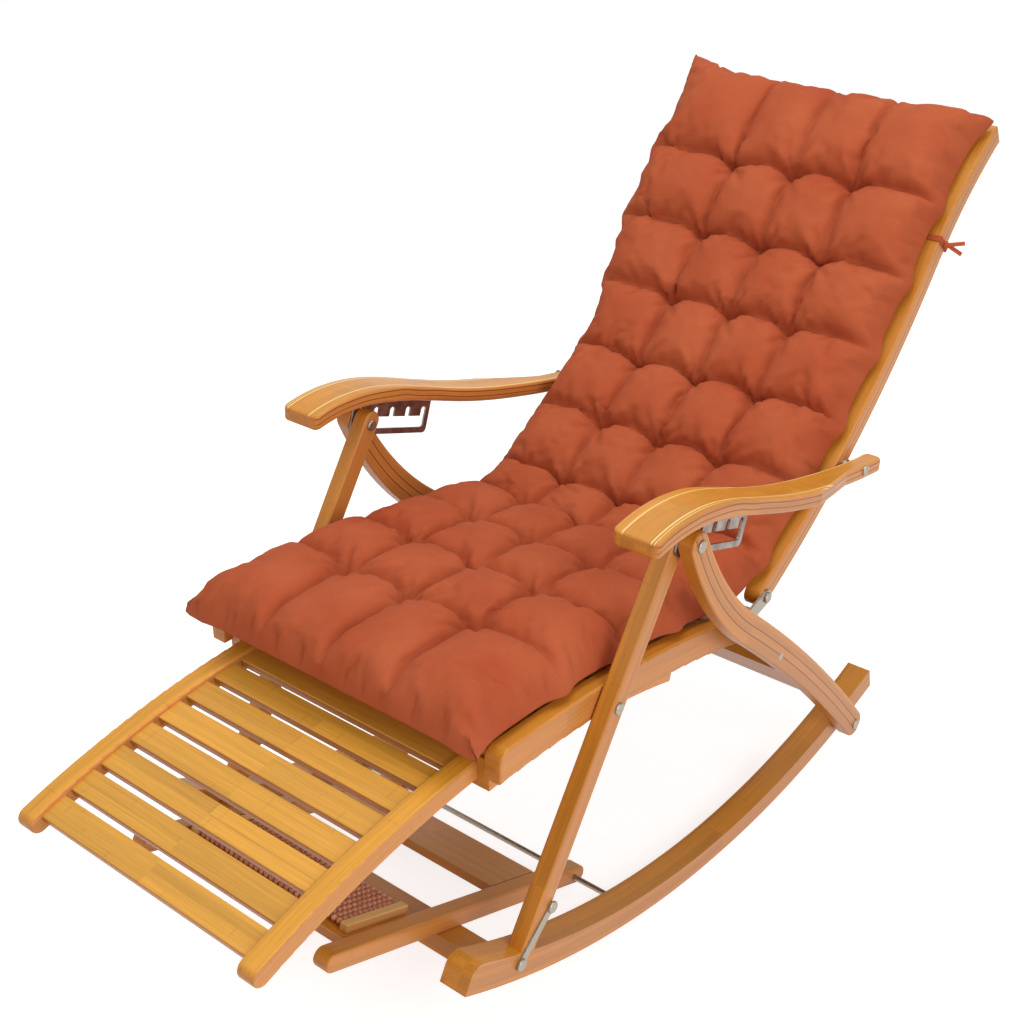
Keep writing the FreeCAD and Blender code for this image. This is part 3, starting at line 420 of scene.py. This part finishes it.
pad_low, pad_high = (Vector(corner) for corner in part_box("massage_pad"))
slope = math.radians(MASSAGE_ANGLE - 180)
turned = Matrix.Rotation(slope, 4, "X")
pad_middle = (pad_low + pad_high) / 2
pad_span = ((pad_high.y - pad_low.y) - BEAD_PAD_THICK * abs(math.sin(slope))) / math.cos(slope)
bead_half = (pad_high.x - pad_low.x) / 2 - BATTEN_WIDTH
columns = int(2 * bead_half / BEAD_SIZE)
rows = int(pad_span / BEAD_SIZE)
mesh = bmesh.new()
for row in range(rows):
    for column in range(columns):
        bead_at = Vector(((column - (columns - 1) / 2) * BEAD_SIZE, (row - (rows - 1) / 2) * BEAD_SIZE,
                          BEAD_PAD_THICK / 2 - BEAD_SIZE / 2))
        place = Matrix.Translation(pad_middle) @ turned @ Matrix.Translation(bead_at)
        bmesh.ops.create_icosphere(mesh, subdivisions=1, radius=BEAD_SIZE * 0.53, matrix=place)
for face in mesh.faces:
    face.smooth = True
beads = stand("massage_beads", mesh)

bead_wood, tree = blank_material("turned_bead_wood")
place = add(tree, "ShaderNodeTexCoord").outputs["Object"]
cell = add(tree, "ShaderNodeTexNoise", {"Vector": place, "Scale": 1 / BEAD_SIZE, "Detail": 2.0}).outputs[0]
share = add(tree, "ShaderNodeMapRange", {0: cell, 1: 0.3, 2: 0.7}).outputs[0]
colour = add(tree, "ShaderNodeMix", {0: share, 6: srgb(BEAD_DARK), 7: srgb(BEAD_TONE)},
             data_type="RGBA").outputs[2]
shader = add(tree, "ShaderNodeBsdfPrincipled", {"Base Color": colour, "Roughness": 0.45, "IOR": 1.5})
add(tree, "ShaderNodeOutputMaterial", {0: shader.outputs[0]})
beads.data.materials.append(bead_wood)
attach(beads, "massage_board")
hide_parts("massage_pad")

mesh = bmesh.new()
for side in (-1, 1):
    batten_at = Vector((side * (bead_half + BATTEN_WIDTH / 2 + BATTEN_GAP), 0, 0))
    size = Matrix.Diagonal((BATTEN_WIDTH, pad_span, BEAD_PAD_THICK, 1))
    place = Matrix.Translation(pad_middle) @ turned @ Matrix.Translation(batten_at) @ size
    bmesh.ops.create_cube(mesh, size=1.0, matrix=place)
bmesh.ops.bevel(mesh, geom=mesh.edges[:], offset=BATTEN_EDGE, offset_type="OFFSET", affect="EDGES",
                segments=3, profile=0.5, material=-1)
battens = stand("massage_battens", mesh)
batten_wood = bamboo("batten_bamboo", straight_lines(MASSAGE_ANGLE), lit_and_shaded_tones=BATTEN_LIT_AND_SHADED_TONES)
battens.data.materials.append(batten_wood)
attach(battens, "massage_board")

# Pad: one long cushion of terracotta cotton, stuffed with fibre and tufted through in rows of three.
# Its two cloths are sewn together round the edge, and each tuft's thread pulls the top down to a dimple.
# It lies a little to the left, and its upper left corner stands up off the rail.
PAD_HALF = 0.238
PAD_FRONT_Y = -0.4745
PAD_TOP_OVERHANG = -0.016
PAD_HINGE = (0.1767, 0.400)
PAD_BEND_RADIUS = 0.185
PAD_REST = 0.0006
SEAT_DEPTH = 0.044
BACK_WIDTH = 0.033
PAD_GRID = 0.005
PAD_SEAM = 0.013
SEAM_PART = 0.0015
PAD_HEIGHT = 0.054
PAD_ROLL = 0.050
LEFT_SPREAD = 0.010
TOP_SPREAD = 0.030
TOP_SPREAD_FROM = 0.95
TOP_SPREAD_TO = 1.22
LEFT_SEAM_RISE = 0.022
EAR_REACH = 0.060
EAR_RISE = 0.024
POINT_REACH = 0.028
POINT_LENGTH = 0.012
TUFT_ROWS = 10
TUFT_FIRST = 0.160
TUFT_ROW_PITCH = 0.127
TUFT_COLUMNS = 3
TUFT_PITCH = 0.109
TUFT_MIDDLE = -0.004
TUFT_DEPTH = 0.30
TUFT_WIDTH = 0.021
ROW_BOW = 0.013
ROW_CREASE = 0.48
COLUMN_CREASE = 0.32
CREASE_WIDTH = 0.009
CREASE_HOLD = 0.50
TUFT_HOLD = 0.0075
SIDE_DRAW = 0.009
PUCKER_COUNT = 9
PUCKER_DEPTH = 0.0026
PUCKER_REACH = 0.046
FOLD_WIDTH = 0.040
FOLD_DEPTH = 0.010
RIPPLE_SCALE = 70
RIPPLE_DEPTH = 0.0016
BEND_MARGIN = 0.02
COTTON_TONE = "AB4D2C"
COTTON_DARK = "8E381B"
COTTON_LIGHT = "B85C38"
THREAD = 0.0011

seat_top = SEAT_RADIUS + SEAT_DEPTH / 2 + PAD_REST
back_centre, back_radius = back_lower_arc
back_face = back_radius - BACK_WIDTH / 2 - PAD_REST
back_gap = Vector(back_centre) - Vector(SEAT_CENTRE)
seat_reach = seat_top + PAD_BEND_RADIUS
back_reach = back_face - PAD_BEND_RADIUS
foot_along = (seat_reach ** 2 - back_reach ** 2 + back_gap.length ** 2) / (2 * back_gap.length)
foot_aside = math.sqrt(seat_reach ** 2 - foot_along ** 2)
forward = back_gap.normalized()
bend_centre = min((Vector(SEAT_CENTRE) + forward * foot_along + side * foot_aside * forward.orthogonal()
                   for side in (-1, 1)), key=lambda p: (p - Vector(PAD_HINGE)).length)
bend_from = bend_centre - Vector(SEAT_CENTRE)
bend_to = bend_centre - Vector(back_centre)
front_swing = math.degrees(math.asin((PAD_FRONT_Y - SEAT_CENTRE[0]) / seat_top))
seat_swing = math.degrees(math.atan2(bend_from.x, bend_from.y))
bend_heading = math.degrees(math.atan2(bend_to.y, bend_to.x)) + 90
pad_path = []
for radius, turn in ((seat_top, front_swing - seat_swing), (PAD_BEND_RADIUS, bend_heading + seat_swing),
                     (back_face, back_heading - bend_heading),
                     (-back_upper_arc[1] + BACK_WIDTH / 2 + PAD_REST, BACK_UPPER[1])):
    pad_path.append((radius * math.radians(abs(turn)), turn))
pad_length = sum(length for length, turn in pad_path) + PAD_TOP_OVERHANG
pad_start = step(SEAT_CENTRE, 90 - front_swing, seat_top)


def pad_place(distance):
    """Place and heading along the pad's underside, from its front edge to its top."""
    p = pad_start
    heading = -front_swing
    for index, (length, turn) in enumerate(pad_path):
        part = distance if index == len(pad_path) - 1 else min(distance, length)
        if part <= 0:
            break
        p, heading = arc_end(p, heading, part, turn * part / length)
        distance -= part
    return p, heading


def ease(low, high, value):
    """Smooth step from 0 to 1 between two values."""
    share = min(max((value - low) / (high - low), 0.0), 1.0)
    return share * share * (3 - 2 * share)


def swell(distance, reach):
    """Hump that is 1 at nought and fades over the reach."""
    return math.exp(-(distance / reach) ** 2)


last_row = TUFT_FIRST + (TUFT_ROWS - 1) * TUFT_ROW_PITCH
mesh = bmesh.new()
bmesh.ops.create_grid(mesh, x_segments=round(2 * PAD_HALF / PAD_GRID),
                      y_segments=round(pad_length / PAD_GRID), size=0.5)
bmesh.ops.scale(mesh, vec=(2 * PAD_HALF, pad_length, 1), verts=mesh.verts)
bmesh.ops.translate(mesh, vec=(0, pad_length / 2, 0), verts=mesh.verts)
bmesh.ops.solidify(mesh, geom=mesh.faces[:], thickness=PAD_SEAM)
level = sum(v.co.z for v in mesh.verts) / len(mesh.verts)
held = []
for vert in mesh.verts:
    x, along, z = vert.co
    top = z > level
    left = ease(0.0, -PAD_HALF, x)
    high = ease(TOP_SPREAD_FROM, TOP_SPREAD_TO, along)
    from_side = PAD_HALF - abs(x)
    from_end = min(along, pad_length - along)
    rise = [math.sqrt(max(0.0, 1 - (1 - min(d / PAD_ROLL, 1)) ** 2)) for d in (from_side, from_end)]
    edge = rise[0] * rise[1]
    x -= left * (LEFT_SPREAD + TOP_SPREAD * high)

    column = min(max(round((x - TUFT_MIDDLE) / TUFT_PITCH + (TUFT_COLUMNS - 1) / 2), 0), TUFT_COLUMNS - 1)
    to_column = x - TUFT_MIDDLE - (column - (TUFT_COLUMNS - 1) / 2) * TUFT_PITCH
    bow = ROW_BOW * math.sin(math.pi / 2 * min(abs(to_column) * 2 / TUFT_PITCH, 1))
    row = min(max(round((along - bow - TUFT_FIRST) / TUFT_ROW_PITCH), 0), TUFT_ROWS - 1)
    tuft_along = along - TUFT_FIRST - row * TUFT_ROW_PITCH
    to_row = tuft_along - bow
    to_tuft = math.hypot(tuft_along, to_column)
    row_crease = math.exp(-abs(to_row) / CREASE_WIDTH)
    column_crease = math.exp(-abs(to_column) / CREASE_WIDTH)
    sunk = max(ROW_CREASE * row_crease, COLUMN_CREASE * column_crease)
    sunk += TUFT_DEPTH * swell(to_tuft, TUFT_WIDTH)
    around = math.atan2(tuft_along, to_column) * PUCKER_COUNT + row * 2.4 + column * 1.7
    pucker = PUCKER_DEPTH * math.cos(around) * swell(to_tuft, PUCKER_REACH)
    pucker *= 1 - swell(to_tuft, TUFT_WIDTH / 2)
    loose = max(ease(last_row, pad_length, along), 0.5 * ease(TUFT_FIRST, 0.0, along))
    fold = FOLD_DEPTH * loose * noise.noise(Vector((x / FOLD_WIDTH, along / (4 * FOLD_WIDTH), 3)))
    ripple = noise.noise(Vector((x, along, 0)) * RIPPLE_SCALE) * RIPPLE_DEPTH

    seam = PAD_SEAM + LEFT_SEAM_RISE * left * high * (1 - rise[0])
    if top:
        lift = seam + SEAM_PART + PAD_HEIGHT * edge * (1 - sunk) + (ripple + pucker + fold) * edge
    else:
        lift = (seam - SEAM_PART) * (1 - edge)
    drawn = SIDE_DRAW * swell(to_row, TUFT_WIDTH) * (1 - rise[0])
    point = swell(from_side, POINT_REACH) * swell(from_end, POINT_REACH)
    ear = swell(from_side, EAR_REACH) * swell(pad_length - along, EAR_REACH) if x < 0 else 0.0
    lift += EAR_RISE * ear
    x += math.copysign(POINT_LENGTH * point - drawn, x)
    along += math.copysign(POINT_LENGTH * point, along - pad_length / 2)
    border = from_side < PAD_GRID / 2 or from_end < PAD_GRID / 2
    fixed = not top or border or to_tuft < TUFT_HOLD
    held.append(1.0 if fixed else CREASE_HOLD * max(row_crease, 0.6 * column_crease) ** 2)
    p, heading = pad_place(along)
    y, z = step(p, heading + 90, lift)
    vert.co = (x, y, z)
bmesh.ops.recalc_face_normals(mesh, faces=mesh.faces[:])
for face in mesh.faces:
    face.smooth = True
pad = stand("pad", mesh)

PUFF_FRAMES = 22
PUFF_PRESSURE = 4.0
PUFF_LIMIT = 0.018
CLOTH_EXTRA = 0.07


def puff(piece, fixed):
    """Let the cloth swell over its stuffing, held at its seams and tufts, and keep the result."""
    group = piece.vertex_groups.new(name="held")
    for index, hold in enumerate(fixed):
        group.add([index], hold, "REPLACE")
    cloth = piece.modifiers.new("cloth", "CLOTH")
    cloth.settings.quality = 6
    cloth.settings.mass = 0.25
    cloth.settings.tension_stiffness = 22
    cloth.settings.compression_stiffness = 22
    cloth.settings.shear_stiffness = 8
    cloth.settings.bending_stiffness = 0.12
    cloth.settings.use_pressure = True
    cloth.settings.uniform_pressure_force = PUFF_PRESSURE
    cloth.settings.shrink_min = -CLOTH_EXTRA
    cloth.settings.vertex_group_mass = "held"
    cloth.settings.effector_weights.gravity = 0
    cloth.collision_settings.use_collision = False
    cloth.point_cache.frame_start = 1
    cloth.point_cache.frame_end = PUFF_FRAMES
    for moment in range(1, PUFF_FRAMES + 1):
        bpy.context.scene.frame_set(moment)
    swollen = piece.evaluated_get(bpy.context.evaluated_depsgraph_get()).to_mesh()
    for vert, moved in zip(piece.data.vertices, swollen.vertices):
        shift = moved.co - vert.co
        vert.co += shift * min(1.0, PUFF_LIMIT / max(shift.length, 1e-9))
    piece.modifiers.remove(cloth)
    bpy.context.scene.frame_set(1)


puff(pad, held)

cotton, tree = blank_material("terracotta_cotton")
place = add(tree, "ShaderNodeTexCoord").outputs["Object"]
cloud = add(tree, "ShaderNodeTexNoise", {"Vector": place, "Scale": 9.0, "Detail": 5.0}).outputs[0]
thread = add(tree, "ShaderNodeTexNoise", {"Vector": place, "Scale": 1 / THREAD, "Detail": 2.0}).outputs[0]
share = add(tree, "ShaderNodeMapRange", {0: cloud, 1: 0.3, 2: 0.7}).outputs[0]
colour = add(tree, "ShaderNodeMix", {0: share, 6: srgb(COTTON_TONE), 7: srgb(COTTON_LIGHT)},
             data_type="RGBA").outputs[2]
speck = add(tree, "ShaderNodeMapRange", {0: thread, 1: 0.55, 2: 0.8, 4: 0.55}).outputs[0]
colour = add(tree, "ShaderNodeMix", {0: speck, 6: colour, 7: srgb(COTTON_DARK)}, data_type="RGBA").outputs[2]
bump = add(tree, "ShaderNodeBump", {"Strength": 0.22, "Distance": 0.0006, "Height": thread}).outputs[0]
shader = add(tree, "ShaderNodeBsdfPrincipled", {
    "Base Color": colour, "Roughness": 0.80, "Normal": bump, "IOR": 1.45, "Specular IOR Level": 0.2,
    "Sheen Weight": 0.06, "Sheen Roughness": 0.5, "Sheen Tint": srgb("E8A184")})
add(tree, "ShaderNodeOutputMaterial", {0: shader.outputs[0]})
pad.data.materials.append(cotton)
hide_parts("seat_cushion", "cushion_bend", "back_cushion")
bend_begin = pad_place(pad_path[0][0] - BEND_MARGIN)[0]
bend_finish = pad_place(pad_path[0][0] + pad_path[1][0] + BEND_MARGIN)[0]
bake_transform(pad)

# Ties: narrow ribbons of the pad's own cotton, sewn to its edges and knotted round the back rails.
# Each makes one turn between two slats, with its knot and two short ends on the rail's outer face.
TIE_ALONG = 0.0443
TIE_WIDTH = 0.009
TIE_THICK = 0.0016
TIE_ROOM = 0.0006
TIE_KNOT = 0.0055
TIE_END = 0.026
RAIL_INNER = 0.228
RAIL_THICK = 0.027

tie_at, tie_heading = arc_end(back_join, back_heading, TIE_ALONG, BACK_UPPER[1] * TIE_ALONG / BACK_UPPER[0])
mesh = bmesh.new()
tie_room = 2 * (TIE_ROOM + TIE_THICK)
tie_size = Matrix.Diagonal((RAIL_THICK + tie_room, TIE_WIDTH, BACK_WIDTH + tie_room, 1))
bmesh.ops.create_cube(mesh, size=1.0, matrix=tie_size)
open_ends = [face for face in mesh.faces if abs(face.normal.y) > 0.5]
bmesh.ops.delete(mesh, geom=open_ends, context="FACES_ONLY")
bmesh.ops.solidify(mesh, geom=mesh.faces[:], thickness=TIE_THICK)
outer = RAIL_THICK / 2 + tie_room / 2
knot = Matrix.Translation((outer + TIE_KNOT / 2, 0, 0)) @ Matrix.Diagonal((0.8, 1.1, 0.8, 1))
bmesh.ops.create_icosphere(mesh, subdivisions=3, radius=TIE_KNOT, matrix=knot)
for lean, spread in ((-14, 26), (-34, -12)):
    aim = Matrix.Rotation(math.radians(spread), 4, "Z") @ Matrix.Rotation(math.radians(-lean), 4, "Y")
    end = Matrix.Translation((outer + TIE_KNOT, 0, 0)) @ aim @ Matrix.Translation((TIE_END / 2, 0, 0))
    end = end @ Matrix.Diagonal((TIE_END, TIE_WIDTH * 0.7, TIE_THICK, 1))
    bmesh.ops.create_cube(mesh, size=1.0, matrix=end)
bmesh.ops.transform(mesh, verts=mesh.verts, matrix=Matrix.Translation((RAIL_INNER + RAIL_THICK / 2, *tie_at))
                    @ Matrix.Rotation(math.radians(tie_heading), 4, "X"))
bmesh.ops.mirror(mesh, geom=mesh.verts[:] + mesh.edges[:] + mesh.faces[:], axis="X", merge_dist=0.0)
bmesh.ops.recalc_face_normals(mesh, faces=mesh.faces[:])
ties = stand("pad_ties", mesh)
ties.data.materials.append(cotton)
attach(ties, "back")

# Floor: a plain pale matt sweep under the chair.
# It is white to the eye and keeps the chair's soft shadow.
FLOOR_SIZE = 16.0
FLOOR_GLOW = 0.74


def seen_rays(tree):
    """1 for rays that show a surface to the eye, straight or by way of metal or glass."""
    rays = add(tree, "ShaderNodeLightPath").outputs
    seen = rays["Is Camera Ray"]
    for kind in ("Is Glossy Ray", "Is Transmission Ray"):
        seen = add(tree, "ShaderNodeMath", {0: seen, 1: rays[kind]}, operation="MAXIMUM").outputs[0]
    return seen


mesh = bmesh.new()
bmesh.ops.create_grid(mesh, x_segments=1, y_segments=1, size=FLOOR_SIZE)
floor = stand("floor", mesh)
pale, tree = blank_material("pale_floor")
seen = seen_rays(tree)
paint_coat = add(tree, "ShaderNodeBsdfDiffuse", {0: srgb("E6E4E1")}).outputs[0]
shadowed = add(tree, "ShaderNodeBsdfDiffuse", {0: srgb("D2D2D2")}).outputs[0]
glow = add(tree, "ShaderNodeEmission", {"Color": srgb("FFFFFF"), "Strength": FLOOR_GLOW}).outputs[0]
white = add(tree, "ShaderNodeAddShader", {0: shadowed, 1: glow}).outputs[0]
look = add(tree, "ShaderNodeMixShader", {0: seen, 1: paint_coat, 2: white}).outputs[0]
add(tree, "ShaderNodeOutputMaterial", {0: look})
floor.data.materials.append(pale)

# Light: a broad soft box high in front and to the left, a nearer one to the right, and one overhead.
# An even white surround fills the shade.
LIGHTS = (("key", (-1.6, -2.6, 3.2), 2.6, 25.0), ("fill", (3.0, -1.2, 1.7), 2.4, 52.0),
          ("top", (0.2, 0.2, 3.6), 2.0, 48.0))
SURROUND = 0.42
for name, at, size, power in LIGHTS:
    lamp = bpy.data.lights.new(name, "AREA")
    lamp.size = size
    lamp.energy = power
    holder = bpy.data.objects.new(name, lamp)
    aim = Vector((0, 0, 0.45)) - Vector(at)
    holder.matrix_world = Matrix.Translation(at) @ aim.to_track_quat("-Z", "Y").to_matrix().to_4x4()
    bpy.context.collection.objects.link(holder)
world = bpy.data.worlds.new("surround")
world.use_nodes = True
tree = world.node_tree
tree.nodes.clear()
seen = seen_rays(tree)
level = add(tree, "ShaderNodeMapRange", {0: seen, 3: SURROUND, 4: 1.0}).outputs[0]
back = add(tree, "ShaderNodeBackground", {"Color": srgb("FFFFFF"), "Strength": level})
add(tree, "ShaderNodeOutputWorld", {0: back.outputs[0]})
bpy.context.scene.world = world

# Camera: stands in front and to the right, looking down on the seat.
# Its three directions are its own right, up and back.
CAMERA_AT = (1.13705, -1.5789, 1.4231)
CAMERA_RIGHT = (0.77715, 0.62779, 0.04390)
CAMERA_UP = (-0.29835, 0.30612, 0.90403)
CAMERA_BACK = (0.55410, -0.71566, 0.42520)
CAMERA_LENS = 52.12
view = bpy.data.cameras.new("camera")
view.lens = CAMERA_LENS
view.sensor_width = 36.0
camera = bpy.data.objects.new("camera", view)
turn = Matrix((CAMERA_RIGHT, CAMERA_UP, CAMERA_BACK)).transposed().to_4x4()
camera.matrix_world = Matrix.Translation(CAMERA_AT) @ turn
bpy.context.collection.objects.link(camera)
bpy.context.scene.camera = camera
bpy.context.scene.view_settings.view_transform = "Standard"
